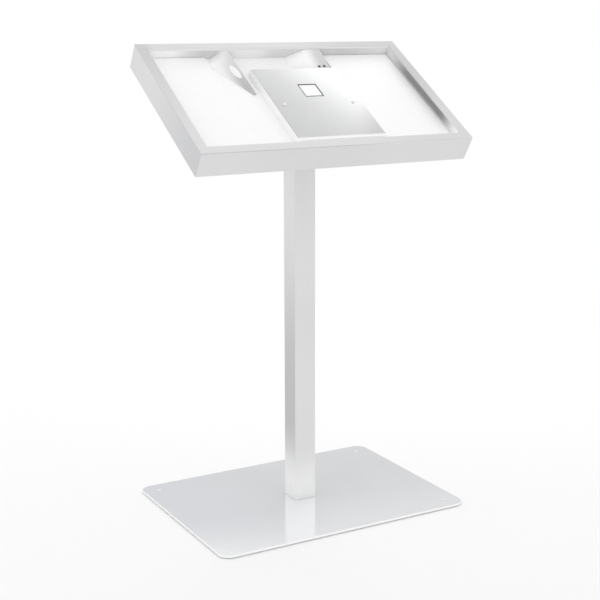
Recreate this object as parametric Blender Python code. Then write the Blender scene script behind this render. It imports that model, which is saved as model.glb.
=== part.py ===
# Information lectern: foot plate, square post and an inclined tray with a raised middle plate.
# Metres, +Z up. The origin is on the floor, on the axis of the post; the reader stands at -Y.
import math

import bmesh
import bpy
from mathutils import Matrix, Vector

# Whole object
TOTAL_HEIGHT = 1.210        # floor to the back upper edge of the tray
TRAY_TILT = math.radians(32.0)
GAP = 0.0003                # between pieces that touch

# Foot plate, its screws and pads
BASE_WIDTH = 0.720
BASE_LENGTH = 0.528
BASE_THICKNESS = 0.006
BASE_CORNER_RADIUS = 0.030
BASE_EDGE_BREAK = 0.0008
CORNER_SCREW_INSET = 0.042
CORNER_SCREW_HEAD = 0.014
CORNER_SCREW_SHANK = 0.008
CORNER_SCREW_RIM = 0.0005   # straight edge of the countersunk head
PAD_THICKNESS = 0.002
PAD_DIAMETER = 0.040

# Post and the stub it slides over
POST_SIDE = 0.062
POST_WALL = 0.003
POST_CORNER_RADIUS = 0.005
SPIGOT_WALL = 0.004
SPIGOT_HEIGHT = 0.120
SET_SCREW_DIAMETER = 0.008
SET_SCREW_HEIGHTS = (0.033, 0.085)   # above the foot plate
SET_SCREW_NAMES = ("set_screw_lower", "set_screw_upper")

# Inclined plate on top of the post, and its bolts
HEAD_WIDTH = 0.150
HEAD_LENGTH = 0.150
HEAD_THICKNESS = 0.005
HEAD_CORNER_RADIUS = 0.010
HEAD_BOLT_SPACING = 0.114
BOLT_DIAMETER = 0.008
BOLT_ACROSS_FLATS = 0.013
BOLT_HEAD_HEIGHT = 0.0053
NUT_HEIGHT = 0.0065
CABLE_HOLE = 0.030

# Tray shell and the folded rim frame on it
TRAY_WIDTH = 0.760
TRAY_LENGTH = 0.445         # along the slope
TRAY_DEPTH = 0.068
SHEET = 0.002
SHELL_CORNER_RADIUS = 0.0015
RIM_WIDTH = 0.027
RIM_FOLD_RADIUS = 0.004
SEAM_CHAMFER = 0.0009       # on both sides of the seam under the rim
LEDGE_WIDTH = 0.012         # inward foot of the rim frame that carries the floor

# Floor of the recess, with the boards that raise it left and right
FLOOR_DEPTH = 0.0285        # below the rim's upper face
BOARD_THICKNESS = 0.005
BOARD_CLEARANCE = 0.001
FLOOR_HOLE_DISTANCE = 0.300  # of the cable hole from the tray's back edge, under the middle plate
GROMMET_BORE = 0.022
GROMMET_FLANGE = 0.034
GROMMET_RIM = 0.0015

# Raised middle plate; X is across the tray, distances run from the tray's back edge
PLATE_CENTRE_X = 0.022
PLATE_WIDTH = 0.253
PLATE_BACK = 0.108
PLATE_FRONT = 0.404
PLATE_DEPTH = 0.009         # of its upper face below the rim
PLATE_SHEET = 0.002
PLATE_FOLD_RADIUS = 0.003
PORT_CENTRE_X = 0.0245
PORT_SIDE = 0.051
PORT_DISTANCE = 0.204       # of the port's middle from the tray's back edge
EDGING_LAP = 0.002          # over the plate
EDGING_LIP = 0.002          # into the port
EDGING_FLANGE = 0.001
COVER_SHEET = 0.0015         # white cover bonded under the edging
COVER_CORNER_RADIUS = 0.002
PLATE_SCREW_SPACING = 0.198
PLATE_SCREW_DISTANCE = 0.260
PLATE_SCREW_HEAD = 0.010
PLATE_SCREW_HEAD_HEIGHT = 0.0025
PLATE_SCREW_SHANK = 0.005
PLATE_SCREW_LENGTH = 0.012
STANDOFF_DIAMETER = 0.012

# Bent sheet gussets, open below and to the right; each section is foot, crest, ridge and the lower
# edge of the ridge's lip, as (X, depth below the rim), and a foot stands on the floor
GUSSET_SHEET = 0.0012
GUSSET_SHOULDER = 0.057     # distance of the middle section from the tray's back edge
GUSSET_TIP = 0.190
LEFT_GUSSET = {
    "wall": ((-0.178, None), (-0.152, 0.0042), (-0.137, 0.0032), (-0.137, 0.0082)),
    "shoulder": ((-0.195, None), (-0.157, 0.0090), (-0.134, 0.0071), (-0.134, 0.0121)),
    "tip": ((-0.1270, None), (-0.1235, 0.0252), (-0.120, 0.0247), (-0.120, 0.0272)),
}
RIGHT_GUSSET = {
    "wall": ((0.038, None), (0.092, 0.0045), (0.134, 0.0032), (0.134, 0.0082)),
    "shoulder": ((0.030, None), (0.088, 0.0090), (0.134, 0.0071), (0.134, 0.0121)),
    "tip": ((0.1000, None), (0.1080, 0.0252), (0.134, 0.0247), (0.134, 0.0272)),
}
CREST_BEND = 0.22           # share of the flank that the bend at the crest takes
CREST_STEPS = 6
GUSSET_HOLE = 0.026
GUSSET_HOLE_DISTANCE = 0.107
RIVET_HEAD = 0.007
RIVET_HEAD_HEIGHT = 0.0015
RIVET_SHANK = 0.004
RIVET_LENGTH = 0.004
RIVETS_FROM_RIDGE = (0.029, 0.014)
RIVET_DISTANCE = 0.0945

# Domed heads of the plate screws and the rivets
DOME_RIM = 0.35             # share of the head's height below the dome
DOME_TOP_ANGLE = math.radians(75.0)
DOME_STEPS = 3

ROUND_STEPS = 24
CORNER_STEPS = 5
SHARP_ANGLE = math.radians(30.0)

# Worked out from the sizes above
BASE_UNDERSIDE = PAD_THICKNESS + GAP
BASE_TOP = BASE_UNDERSIDE + BASE_THICKNESS
POST_BORE = POST_SIDE - 2.0 * POST_WALL
POST_BORE_RADIUS = max(POST_CORNER_RADIUS - POST_WALL, 0.001)
FLOOR_WIDTH = TRAY_WIDTH - 2.0 * RIM_WIDTH
FLOOR_LENGTH = TRAY_LENGTH - 2.0 * RIM_WIDTH
PLATE_UNDERSIDE = PLATE_DEPTH + PLATE_SHEET
POST_TOP_OFFSET = (HEAD_THICKNESS + 2.0 * GAP) / math.cos(TRAY_TILT)
TRAY_CENTRE = Vector((0.0, -TRAY_DEPTH * math.sin(TRAY_TILT),
                      TOTAL_HEIGHT - 0.5 * TRAY_LENGTH * math.sin(TRAY_TILT)))
UNDERSIDE_HEIGHT = TRAY_CENTRE.z - TRAY_DEPTH * math.cos(TRAY_TILT)


def make_material(name, colour, roughness, metallic):
    material = bpy.data.materials.new(name)
    material.use_nodes = True
    shader = material.node_tree.nodes["Principled BSDF"]
    shader.inputs["Base Color"].default_value = (*colour, 1.0)
    shader.inputs["Roughness"].default_value = roughness
    shader.inputs["Metallic"].default_value = metallic
    return material


def finish(name, bm, material, parent=None):
    """Makes the object; only a closed surface gets its faces turned outwards."""
    if all(edge.is_manifold for edge in bm.edges):
        bmesh.ops.recalc_face_normals(bm, faces=bm.faces)
    mesh = bpy.data.meshes.new(name)
    bm.to_mesh(mesh)
    bm.free()
    mesh.materials.append(material)
    piece = bpy.data.objects.new(name, mesh)
    piece.parent = parent
    bpy.context.scene.collection.objects.link(piece)
    return piece


def rounded_rectangle(width, length, radius, z, centre=(0.0, 0.0)):
    """Corner arcs joined by straight sides, anticlockwise seen from above."""
    points = []
    for corner, (side_x, side_y) in enumerate(((1, 1), (-1, 1), (-1, -1), (1, -1))):
        middle = Vector((centre[0] + side_x * (0.5 * width - radius),
                         centre[1] + side_y * (0.5 * length - radius), z))
        for step in range(CORNER_STEPS + 1):
            angle = math.radians(90.0) * (corner + step / CORNER_STEPS)
            points.append(middle + radius * Vector((math.cos(angle), math.sin(angle), 0.0)))
    return points


def circle(diameter, z, steps=ROUND_STEPS):
    turn = 2.0 * math.pi / steps
    return [Vector((0.5 * diameter * math.cos(turn * k), 0.5 * diameter * math.sin(turn * k), z))
            for k in range(steps)]


def loft(rings, ring_of_rings=False):
    """Skins rings of equally many points; open ends are capped."""
    bm = bmesh.new()
    loops = [[bm.verts.new(point) for point in ring] for ring in rings]
    following = loops[1:] + loops[:1] if ring_of_rings else loops[1:]
    for first, second in zip(loops, following):
        for here in range(len(first)):
            after = (here + 1) % len(first)
            bm.faces.new((first[here], first[after], second[after], second[here]))
    if not ring_of_rings:
        bm.faces.new(loops[0])
        bm.faces.new(loops[-1])
    return bm


def cut(piece, cutter_mesh, name):
    """Takes a cutter, placed in the piece's own space, out of the piece."""
    cutter = finish(name, cutter_mesh, piece.data.materials[0], piece.parent)
    cutter.hide_render = True
    cutter.display_type = "WIRE"
    cutter.matrix_basis = piece.matrix_basis
    boolean = piece.modifiers.new(name, "BOOLEAN")
    boolean.operation = "DIFFERENCE"
    boolean.solver = "EXACT"
    boolean.object = cutter


def apply_modifiers():
    """Keeps each piece as cut and removes the cutters, so that the edges of holes can be marked sharp."""
    depsgraph = bpy.context.evaluated_depsgraph_get()
    pieces = [piece for piece in bpy.data.objects if piece.modifiers]
    meshes = [bpy.data.meshes.new_from_object(piece.evaluated_get(depsgraph)) for piece in pieces]
    for piece, mesh in zip(pieces, meshes):
        for modifier in piece.modifiers:
            if modifier.type == "BOOLEAN":
                bpy.data.objects.remove(modifier.object, do_unlink=True)
        piece.modifiers.clear()
        piece.data = mesh


def smooth_rounds():
    """Rounds shade smooth, folds and hole edges stay sharp, and flat faces stay flat."""
    for piece in bpy.data.objects:
        if piece.type == "MESH":
            piece.data.shade_smooth()
            piece.data.set_sharp_from_angle(angle=SHARP_ANGLE)
            normals = piece.modifiers.new("flat_faces", "WEIGHTED_NORMAL")
            normals.keep_sharp = True


def moved(bm, offset):
    bmesh.ops.translate(bm, verts=bm.verts, vec=Vector(offset))
    return bm


def drill(piece, name, places, profile):
    """Cuts one turned hole per place; the profile is a list of (diameter, z)."""
    for index, place in enumerate(places):
        bm = moved(loft([circle(diameter, z) for diameter, z in profile]), place)
        cut(piece, bm, "%s_%d" % (name, index + 1))


def corner_places(spacing_x, spacing_y):
    return [(side_x * 0.5 * spacing_x, side_y * 0.5 * spacing_y)
            for side_y in (-1, 1) for side_x in (-1, 1)]


def in_tray(x, distance, depth):
    """Tray space of a point given by X, distance from the back edge and depth below the rim."""
    return Vector((x, 0.5 * TRAY_LENGTH - distance, -depth))


# Foot plate, corner screws and pads

def corner_screw_places():
    return corner_places(BASE_WIDTH - 2.0 * CORNER_SCREW_INSET, BASE_LENGTH - 2.0 * CORNER_SCREW_INSET)


def countersink(clearance):
    """Turned profile of the corner screw's head and shank, from the top down."""
    head = CORNER_SCREW_HEAD + 2.0 * clearance
    shank = CORNER_SCREW_SHANK + 2.0 * clearance
    rim_low = BASE_TOP - CORNER_SCREW_RIM
    cone_low = rim_low - 0.5 * (head - shank)
    return head, shank, rim_low, cone_low


def build_base(steel, zinc, rubber):
    edge = BASE_EDGE_BREAK
    top_width = BASE_WIDTH - 2.0 * edge
    top_length = BASE_LENGTH - 2.0 * edge
    bm = loft([
        rounded_rectangle(BASE_WIDTH, BASE_LENGTH, BASE_CORNER_RADIUS, BASE_UNDERSIDE),
        rounded_rectangle(BASE_WIDTH, BASE_LENGTH, BASE_CORNER_RADIUS, BASE_TOP - edge),
        rounded_rectangle(top_width, top_length, BASE_CORNER_RADIUS - edge, BASE_TOP),
    ])
    plate = finish("base_plate", bm, steel)
    head, shank, rim_low, cone_low = countersink(GAP)
    drill(plate, "base_screw_hole", [(x, y, 0.0) for x, y in corner_screw_places()],
          [(head, BASE_TOP + GAP), (head, rim_low), (shank, cone_low), (shank, 0.0)])

    head, shank, rim_low, cone_low = countersink(0.0)
    for index, (x, y) in enumerate(corner_screw_places()):
        bm = loft([circle(head, BASE_TOP), circle(head, rim_low), circle(shank, cone_low),
                   circle(shank, BASE_UNDERSIDE)])
        screw = finish("base_screw_%d" % (index + 1), bm, zinc)
        screw.location = (x, y, 0.0)
        pad = finish("foot_pad_%d" % (index + 1),
                     loft([circle(PAD_DIAMETER, 0.0), circle(PAD_DIAMETER, PAD_THICKNESS)]), rubber)
        pad.location = (x, y, 0.0)


# Post, spigot and set screws

def square_tube(side, wall, radius, low, top_height):
    """A square tube; top_height(point) gives its upper end, so that it can be mitred."""
    bore_radius = max(radius - wall, 0.001)
    outer = rounded_rectangle(side, side, radius, low)
    inner = rounded_rectangle(side - 2.0 * wall, side - 2.0 * wall, bore_radius, low)
    outer_top = [Vector((p.x, p.y, top_height(p))) for p in outer]
    inner_top = [Vector((p.x, p.y, top_height(p))) for p in inner]
    return loft([outer, outer_top, inner_top, inner], ring_of_rings=True)


def build_post(steel, zinc):
    def mitre(point):
        return UNDERSIDE_HEIGHT - POST_TOP_OFFSET + point.y * math.tan(TRAY_TILT)

    def level(point):
        return BASE_TOP + SPIGOT_HEIGHT

    foot = BASE_TOP + GAP
    bm = square_tube(POST_SIDE, POST_WALL, POST_CORNER_RADIUS, foot, mitre)
    post = finish("post_tube", bm, steel)
    bm = square_tube(POST_BORE - 2.0 * GAP, SPIGOT_WALL, POST_BORE_RADIUS, foot, level)
    spigot = finish("post_spigot", bm, steel)
    outside = -0.5 * POST_SIDE
    length = POST_WALL + SPIGOT_WALL
    hole = SET_SCREW_DIAMETER + 2.0 * GAP
    for name, height in zip(SET_SCREW_NAMES, SET_SCREW_HEIGHTS):
        place = Vector((outside, 0.0, BASE_TOP + height))
        for piece, label in ((post, "post"), (spigot, "spigot")):
            bm = loft([circle(hole, -GAP), circle(hole, length + SPIGOT_WALL)])
            cut(piece, turned_to_x(bm, place), "%s_hole_in_%s" % (name, label))
        screw = loft([circle(SET_SCREW_DIAMETER, 0.0), circle(SET_SCREW_DIAMETER, length)])
        finish(name, turned_to_x(screw, place), zinc)


def turned_to_x(bm, place):
    """Turns a piece made along +Z to run along +X from the place."""
    for vert in bm.verts:
        along = vert.co.z
        vert.co = Vector((along, vert.co.x, vert.co.y)) + place
    return bm


# Head plate with its bolts

def build_head(frame, steel, zinc):
    high = -TRAY_DEPTH - GAP
    low = high - HEAD_THICKNESS
    bm = loft([rounded_rectangle(HEAD_WIDTH, HEAD_LENGTH, HEAD_CORNER_RADIUS, low),
               rounded_rectangle(HEAD_WIDTH, HEAD_LENGTH, HEAD_CORNER_RADIUS, high)])
    plate = finish("head_plate", bm, steel, frame)
    places = corner_places(HEAD_BOLT_SPACING, HEAD_BOLT_SPACING)
    hole = BOLT_DIAMETER + 2.0 * GAP
    drill(plate, "head_bolt_hole", [(x, y, 0.0) for x, y in places], [(hole, low - GAP), (hole, high + GAP)])
    drill(plate, "head_cable_hole", [(0.0, 0.0, 0.0)], [(CABLE_HOLE, low - GAP), (CABLE_HOLE, high + GAP)])

    nut_low = -TRAY_DEPTH + SHEET + GAP
    nut_high = nut_low + NUT_HEIGHT
    head_high = low - GAP
    head_low = head_high - BOLT_HEAD_HEIGHT
    for index, (x, y) in enumerate(places):
        shank = [circle(BOLT_DIAMETER, z) for z in (head_high, nut_high)]
        bolt_mesh = loft([hexagon(head_low), hexagon(head_high)] + shank)
        bolt = finish("head_bolt_%d" % (index + 1), bolt_mesh, zinc, frame)
        bolt.location = (x, y, 0.0)
        bore = [circle(hole, z) for z in (nut_high, nut_low)]
        nut_mesh = loft([hexagon(nut_low), hexagon(nut_high)] + bore, ring_of_rings=True)
        nut = finish("head_nut_%d" % (index + 1), nut_mesh, zinc, frame)
        nut.location = (x, y, 0.0)


def hexagon(z):
    """A bolt's hexagon, with as many points as a circle so that the two can be joined."""
    ring = []
    for point in circle(BOLT_ACROSS_FLATS, z):
        angle = math.atan2(point.y, point.x)
        from_flat = angle % math.radians(60.0) - math.radians(30.0)
        reach = 0.5 * BOLT_ACROSS_FLATS / math.cos(from_flat)
        ring.append(Vector((reach * math.cos(angle), reach * math.sin(angle), z)))
    return ring


# Tray shell, rim frame and floor

def build_shell(frame, steel):
    top = -(SHEET + GAP)
    radius = SHELL_CORNER_RADIUS
    inner_radius = 0.5 * SHELL_CORNER_RADIUS
    seam_width = TRAY_WIDTH - 2.0 * SEAM_CHAMFER
    seam_length = TRAY_LENGTH - 2.0 * SEAM_CHAMFER
    inner_width = TRAY_WIDTH - 2.0 * SHEET
    inner_length = TRAY_LENGTH - 2.0 * SHEET
    bm = loft([
        rounded_rectangle(TRAY_WIDTH, TRAY_LENGTH, radius, -TRAY_DEPTH),
        rounded_rectangle(TRAY_WIDTH, TRAY_LENGTH, radius, top - SEAM_CHAMFER),
        rounded_rectangle(seam_width, seam_length, inner_radius, top),
        rounded_rectangle(inner_width, inner_length, inner_radius, top),
        rounded_rectangle(inner_width, inner_length, inner_radius, -TRAY_DEPTH + SHEET),
    ])
    shell = finish("tray_shell", bm, steel, frame)
    holes = corner_places(HEAD_BOLT_SPACING, HEAD_BOLT_SPACING)
    hole = BOLT_DIAMETER + 2.0 * GAP
    low, high = -TRAY_DEPTH - GAP, -TRAY_DEPTH + SHEET + GAP
    drill(shell, "shell_bolt_hole", [(x, y, 0.0) for x, y in holes], [(hole, low), (hole, high)])
    drill(shell, "shell_cable_hole", [(0.0, 0.0, 0.0)], [(CABLE_HOLE, low), (CABLE_HOLE, high)])


def rim_section():
    """Closed section of the rim frame as (distance in from the outer edge, height)."""
    radius = RIM_FOLD_RADIUS
    ledge_top = -(FLOOR_DEPTH + SHEET + GAP)
    ledge_low = ledge_top - SHEET
    section = [(0.0, 0.0)]
    for step in range(CORNER_STEPS + 1):
        angle = math.radians(90.0) * step / CORNER_STEPS
        section.append((RIM_WIDTH - radius + radius * math.sin(angle), -radius + radius * math.cos(angle)))
    section += [
        (RIM_WIDTH, ledge_top),
        (RIM_WIDTH + LEDGE_WIDTH, ledge_top),
        (RIM_WIDTH + LEDGE_WIDTH, ledge_low),
        (RIM_WIDTH - SHEET, ledge_low),
    ]
    inside = radius - SHEET
    for step in range(CORNER_STEPS + 1):
        angle = math.radians(90.0) * (1.0 - step / CORNER_STEPS)
        section.append((RIM_WIDTH - radius + inside * math.sin(angle), -radius + inside * math.cos(angle)))
    section += [(SEAM_CHAMFER, -SHEET), (0.0, -SHEET + SEAM_CHAMFER)]
    return section


def mitred_ring(section, width, length):
    """Sweeps a section round a rectangle; the section's first value runs inwards."""
    rings = []
    for side_x, side_y in ((1, 1), (-1, 1), (-1, -1), (1, -1)):
        rings.append([Vector((side_x * (0.5 * width - inset), side_y * (0.5 * length - inset), z))
                      for inset, z in section])
    return loft(rings, ring_of_rings=True)


def build_floor(frame, steel, board):
    finish("rim_frame", mitred_ring(rim_section(), TRAY_WIDTH, TRAY_LENGTH), steel, frame)
    width = FLOOR_WIDTH - 2.0 * GAP
    length = FLOOR_LENGTH - 2.0 * GAP
    low, high = -FLOOR_DEPTH - SHEET, -FLOOR_DEPTH
    bm = loft([rounded_rectangle(width, length, SHEET, low), rounded_rectangle(width, length, SHEET, high)])
    floor = finish("tray_floor", bm, board, frame)
    drill(floor, "floor_cable_hole", [in_tray(PLATE_CENTRE_X, FLOOR_HOLE_DISTANCE, 0.0)],
          [(CABLE_HOLE, low - GAP), (CABLE_HOLE, high + GAP)])

    left_end = LEFT_GUSSET["shoulder"][0][0] - BOARD_CLEARANCE
    right_end = PLATE_CENTRE_X + 0.5 * PLATE_WIDTH + BOARD_CLEARANCE
    edge = 0.5 * FLOOR_WIDTH - BOARD_CLEARANCE
    for name, start, end in (("inlay_board_left", -edge, left_end), ("inlay_board_right", right_end, edge)):
        centre = (0.5 * (start + end), 0.0)
        across = FLOOR_LENGTH - 2.0 * BOARD_CLEARANCE
        bm = loft([rounded_rectangle(end - start, across, BOARD_CLEARANCE, high + z, centre)
                   for z in (GAP, BOARD_THICKNESS)])
        finish(name, bm, board, frame)


def build_grommet(frame, rubber):
    """Bush in the floor's cable hole: flange above, body through the sheet."""
    low = -FLOOR_DEPTH - SHEET
    high = -FLOOR_DEPTH + GAP
    body = CABLE_HOLE - 2.0 * GAP
    bm = loft([circle(GROMMET_BORE, low), circle(body, low), circle(body, high), circle(GROMMET_FLANGE, high),
               circle(GROMMET_FLANGE, high + GROMMET_RIM), circle(GROMMET_BORE, high + GROMMET_RIM)],
              ring_of_rings=True)
    finish("floor_grommet", moved(bm, in_tray(PLATE_CENTRE_X, FLOOR_HOLE_DISTANCE, 0.0)), rubber, frame)


# Raised middle plate

def folded_cover():
    """The plate's outer surface: a top with side and front walls turned down, open below and behind."""
    half = 0.5 * PLATE_WIDTH
    places = ((-half, PLATE_BACK), (-half, PLATE_FRONT), (half, PLATE_FRONT), (half, PLATE_BACK))
    rings = [[in_tray(PLATE_CENTRE_X + x, distance, depth) for x, distance in places]
             for depth in (FLOOR_DEPTH - GAP, PLATE_DEPTH)]
    bm = loft(rings)
    bmesh.ops.recalc_face_normals(bm, faces=bm.faces)
    open_sides = [face for face in bm.faces if face.normal.y > 0.5 or face.normal.z < -0.5]
    bmesh.ops.delete(bm, geom=open_sides, context="FACES")
    folds = [edge for edge in bm.edges if not edge.is_boundary]
    bmesh.ops.bevel(bm, geom=folds, offset=PLATE_FOLD_RADIUS, offset_type="OFFSET", segments=CORNER_STEPS,
                    profile=0.5, affect="EDGES")
    return bm


def plate_screw_places():
    return [PLATE_CENTRE_X + side * 0.5 * PLATE_SCREW_SPACING for side in (-1, 1)]


def build_plate(frame, steel, zinc, rubber, board):
    plate = finish("mounting_plate", folded_cover(), steel, frame)
    sheet = plate.modifiers.new("sheet", "SOLIDIFY")
    sheet.thickness = PLATE_SHEET
    sheet.offset = -1.0
    sheet.use_even_offset = True
    port = in_tray(PORT_CENTRE_X, PORT_DISTANCE, 0.0)
    low, high = -PLATE_UNDERSIDE - GAP, -PLATE_DEPTH + GAP
    cutter = loft([square_ring(PORT_SIDE, low), square_ring(PORT_SIDE, high)])
    cut(plate, moved(cutter, port), "port_cutter")

    wide = PORT_SIDE + 2.0 * EDGING_LAP
    lap = EDGING_LAP + GAP
    reach = EDGING_LAP + EDGING_LIP
    section = [(0.0, high), (0.0, high + EDGING_FLANGE), (reach, high + EDGING_FLANGE),
               (reach, low - EDGING_FLANGE), (0.0, low - EDGING_FLANGE), (0.0, low), (lap, low), (lap, high)]
    finish("port_edging", moved(mitred_ring(section, wide, wide), port), rubber, frame)
    cover_high = low - EDGING_FLANGE - GAP
    cover = loft([rounded_rectangle(wide, wide, COVER_CORNER_RADIUS, z)
                  for z in (cover_high - COVER_SHEET, cover_high)])
    finish("port_cover", moved(cover, port), board, frame)

    for name, x in zip(("left", "right"), plate_screw_places()):
        place = in_tray(x, PLATE_SCREW_DISTANCE, 0.0)
        hole = PLATE_SCREW_SHANK + 2.0 * GAP
        drill(plate, "plate_screw_hole_" + name, [place], [(hole, low), (hole, high)])
        bm = button_screw(PLATE_SCREW_HEAD, PLATE_SCREW_HEAD_HEIGHT, PLATE_SCREW_SHANK,
                          PLATE_SCREW_LENGTH, high)
        screw = finish("plate_screw_" + name, bm, zinc, frame)
        screw.location = place
        standoff = loft([circle(hole, -FLOOR_DEPTH + GAP), circle(STANDOFF_DIAMETER, -FLOOR_DEPTH + GAP),
                         circle(STANDOFF_DIAMETER, low), circle(hole, low)], ring_of_rings=True)
        spacer = finish("plate_standoff_" + name, standoff, zinc, frame)
        spacer.location = place


def square_ring(side, z):
    half = 0.5 * side
    return [Vector((half * x, half * y, z)) for x, y in ((1, 1), (-1, 1), (-1, -1), (1, -1))]


def button_screw(head, head_height, shank, length, seat):
    """Domed head on a plain shank; the seat is the height of the head's underside."""
    rim = DOME_RIM * head_height
    angles = [DOME_TOP_ANGLE * (1.0 - step / DOME_STEPS) for step in range(DOME_STEPS + 1)]
    dome = [circle(head * math.cos(angle), seat + rim + (head_height - rim) * math.sin(angle))
            for angle in angles]
    return loft(dome + [circle(head, seat), circle(shank, seat), circle(shank, seat - length)])


# Gussets

def gusset_section(sections, distance):
    """Foot, crest, ridge and lip edge at a distance from the tray's back edge."""
    if distance <= GUSSET_SHOULDER:
        start, end = sections["wall"], sections["shoulder"]
        share = (distance - RIM_WIDTH) / (GUSSET_SHOULDER - RIM_WIDTH)
    else:
        start, end = sections["shoulder"], sections["tip"]
        share = (distance - GUSSET_SHOULDER) / (GUSSET_TIP - GUSSET_SHOULDER)
    points = []
    for (x_start, depth_start), (x_end, depth_end) in zip(start, end):
        x = x_start + share * (x_end - x_start)
        if depth_start is None:
            points.append(Vector((x, FLOOR_DEPTH - GAP)))
        else:
            points.append(Vector((x, depth_start + share * (depth_end - depth_start))))
    return points


def crest_bend(foot, crest, ridge):
    """Points of a smooth bend from the flank to the top."""
    reach = CREST_BEND * (crest - foot).length
    start = crest - reach * (crest - foot).normalized()
    end = crest + reach * (ridge - crest).normalized()
    shares = [step / CREST_STEPS for step in range(CREST_STEPS + 1)]
    return [(1.0 - t) ** 2 * start + 2.0 * t * (1.0 - t) * crest + t ** 2 * end for t in shares]


def inner_line(points, thickness):
    """Offsets a bent line to its inner side; both ends stay level with the outer line's ends."""
    lines = []
    for start, end in zip(points, points[1:]):
        along = (end - start).normalized()
        lines.append((start + thickness * Vector((-along.y, along.x)), along))
    inner = [level_point(lines[0], points[0].y)]
    for (start, along), (other_start, other_along) in zip(lines, lines[1:]):
        reach = (other_start - start).cross(other_along) / along.cross(other_along)
        inner.append(start + reach * along)
    inner.append(level_point(lines[-1], points[-1].y))
    return inner


def level_point(line, depth):
    start, along = line
    return start + (depth - start.y) / along.y * along


def build_gusset(name, sections, frame, steel):
    rings = []
    for distance in (RIM_WIDTH + GAP, GUSSET_SHOULDER, GUSSET_TIP):
        foot, crest, ridge, lip = gusset_section(sections, distance)
        outer = [foot, *crest_bend(foot, crest, ridge), ridge, lip]
        outline = outer + inner_line(outer, GUSSET_SHEET)[::-1]
        rings.append([in_tray(point.x, distance, point.y) for point in outline])
    return finish(name, loft(rings), steel, frame)


def build_gussets(frame, steel, dark):
    left = build_gusset("gusset_left", LEFT_GUSSET, frame, steel)
    foot, crest, ridge, lip = gusset_section(LEFT_GUSSET, GUSSET_HOLE_DISTANCE)
    flank_lean = math.atan2(foot.y - crest.y, crest.x - foot.x)
    top_lean = math.atan2(crest.y - ridge.y, ridge.x - crest.x)
    lean = 0.5 * (flank_lean + top_lean)
    lean_sin, lean_cos = math.sin(lean), math.cos(lean)
    bm = loft([circle(GUSSET_HOLE, -0.5 * GUSSET_HOLE), circle(GUSSET_HOLE, 0.5 * GUSSET_HOLE)])
    for vert in bm.verts:
        x, y, z = vert.co
        vert.co = Vector((x * lean_cos - z * lean_sin, y, x * lean_sin + z * lean_cos))
    cut(left, moved(bm, in_tray(crest.x, GUSSET_HOLE_DISTANCE, crest.y)), "gusset_hole")

    right = build_gusset("gusset_right", RIGHT_GUSSET, frame, steel)
    hole = RIVET_SHANK + 2.0 * GAP
    for index, from_ridge in enumerate(RIVETS_FROM_RIDGE):
        seat = rivet_seat(from_ridge)
        bm = loft([circle(hole, -RIVET_LENGTH), circle(hole, RIVET_LENGTH)])
        bm.transform(seat)
        cut(right, bm, "rivet_hole_%d" % (index + 1))
        bm = button_screw(RIVET_HEAD, RIVET_HEAD_HEIGHT, RIVET_SHANK, RIVET_LENGTH, GAP)
        rivet = finish("gusset_screw_%d" % (index + 1), bm, dark, frame)
        rivet.matrix_basis = seat


def rivet_seat(from_ridge):
    """Places a rivet square on the right gusset's top, which slopes two ways."""
    foot, crest, ridge, lip = gusset_section(RIGHT_GUSSET, RIVET_DISTANCE)
    share = 1.0 - from_ridge / (ridge.x - crest.x)
    place = gusset_top(RIVET_DISTANCE, share)
    across = gusset_top(RIVET_DISTANCE, 1.0) - gusset_top(RIVET_DISTANCE, 0.0)
    along = gusset_top(GUSSET_TIP, share) - place
    normal = along.cross(across)
    return Matrix.Translation(place) @ normal.to_track_quat("Z", "Y").to_matrix().to_4x4()


def gusset_top(distance, share):
    foot, crest, ridge, lip = gusset_section(RIGHT_GUSSET, distance)
    point = crest.lerp(ridge, share)
    return in_tray(point.x, distance, point.y)


def main():
    for old in list(bpy.data.objects):
        bpy.data.objects.remove(old, do_unlink=True)

    light_steel = make_material("light_grey_steel", (0.70, 0.71, 0.72), 0.35, 0.3)
    plate_steel = make_material("satin_steel", (0.62, 0.63, 0.64), 0.30, 0.9)
    zinc = make_material("zinc_screw", (0.66, 0.66, 0.65), 0.35, 1.0)
    dark = make_material("dark_screw", (0.10, 0.10, 0.10), 0.45, 0.6)
    rubber = make_material("dark_rubber", (0.05, 0.05, 0.05), 0.70, 0.0)
    board = make_material("white_board", (0.90, 0.90, 0.90), 0.30, 0.0)

    frame = bpy.data.objects.new("tray_space", None)
    frame.location = TRAY_CENTRE
    frame.rotation_euler = (TRAY_TILT, 0.0, 0.0)
    bpy.context.scene.collection.objects.link(frame)

    build_base(light_steel, zinc, rubber)
    build_post(light_steel, zinc)
    build_head(frame, light_steel, zinc)
    build_shell(frame, light_steel)
    build_floor(frame, light_steel, board)
    build_grommet(frame, rubber)
    build_plate(frame, plate_steel, zinc, rubber, board)
    build_gussets(frame, light_steel, dark)
    apply_modifiers()
    smooth_rounds()


main()
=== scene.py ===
import math

import bmesh
import bpy
from mathutils import Euler, Matrix, Vector


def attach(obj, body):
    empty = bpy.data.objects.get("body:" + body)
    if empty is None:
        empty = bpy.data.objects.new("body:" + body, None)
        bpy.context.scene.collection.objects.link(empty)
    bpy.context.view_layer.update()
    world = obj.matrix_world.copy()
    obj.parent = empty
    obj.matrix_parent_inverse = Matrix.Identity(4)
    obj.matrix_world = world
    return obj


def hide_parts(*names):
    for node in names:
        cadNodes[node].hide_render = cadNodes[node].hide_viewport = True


# Information lectern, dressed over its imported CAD: metres, +Z up, the reader stands at -Y

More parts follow.
